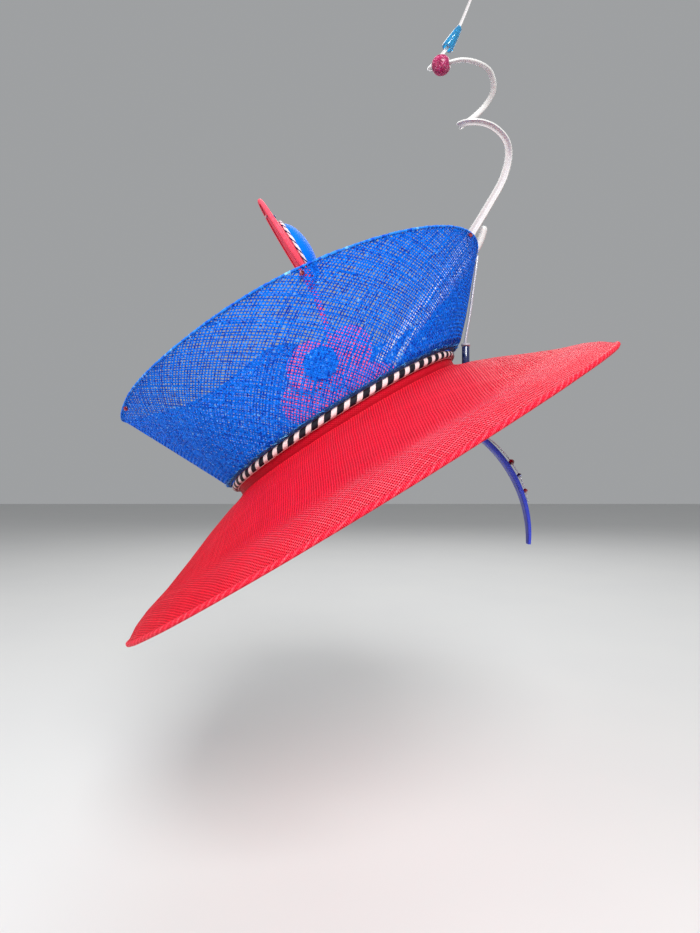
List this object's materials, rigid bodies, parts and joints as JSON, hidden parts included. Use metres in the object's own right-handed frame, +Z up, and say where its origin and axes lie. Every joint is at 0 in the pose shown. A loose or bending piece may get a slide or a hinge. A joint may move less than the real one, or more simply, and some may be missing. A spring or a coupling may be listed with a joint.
{
  "type": "hatinator",
  "caption": "Tilted woven straw hat on a headband: wide downturned brim, open see-through flare with a straw flower inside, a small hat on a stem and a long curled quill.",
  "frame": {"origin": "the headband's inner top, where it sits on the head", "axes": "+Z up when worn, +Y to the wearer's front, +X to the wearer's right; the hat is tilted to the wearer's left"},
  "size_m": [0.3303, 0.3768, 0.4688],
  "materials": {
    "red_sinamay": "bright red woven straw cloth, satin",
    "dark_red_sinamay": "darker red woven straw cloth",
    "blue_sinamay": "royal blue open woven straw cloth",
    "striped_cord": "navy and white slanted stripes",
    "stripped_quill": "white stripped feather shaft, satin",
    "grey_stalk": "pinkish grey, glossy",
    "navy_tube": "dark navy, glossy",
    "crimson_crystal": "crimson glitter and cut stones",
    "cyan_lucite": "translucent cyan, polished",
    "navy_crystal": "dark blue cut stone",
    "blue_satin": "royal blue satin over a stiff band"
  },
  "bodies": {
    "root": {"brim": "red_sinamay", "collar": "dark_red_sinamay", "crown_tip": "red_sinamay", "striped_piping": "striped_cord", "blue_flare": "blue_sinamay", "rim_crystal_1": "crimson_crystal", "rim_crystal_2": "crimson_crystal", "rim_crystal_3": "crimson_crystal", "rim_crystal_4": "crimson_crystal", "flower_knot": "red_sinamay", "petal_upper_right": "red_sinamay", "petal_left": "red_sinamay", "petal_upper_left": "red_sinamay", "petal_bottom": "red_sinamay", "petal_right": "red_sinamay", "petal_blue": "blue_sinamay", "flower_stem": "red_sinamay", "mini_brim": "red_sinamay", "mini_piping": "striped_cord", "mini_crown": "blue_sinamay", "mini_crystal_1": "navy_crystal", "mini_crystal_2": "crimson_crystal", "curled_quill": "stripped_quill", "pave_bead": "crimson_crystal", "bell_bead": "cyan_lucite", "blunt_quill": "stripped_quill", "stalk_tube": "navy_tube", "side_stalk": "grey_stalk", "stalk_ring": "grey_stalk", "headband": "blue_satin", "band_trim": "crimson_crystal"}
  },
  "joints": []
}
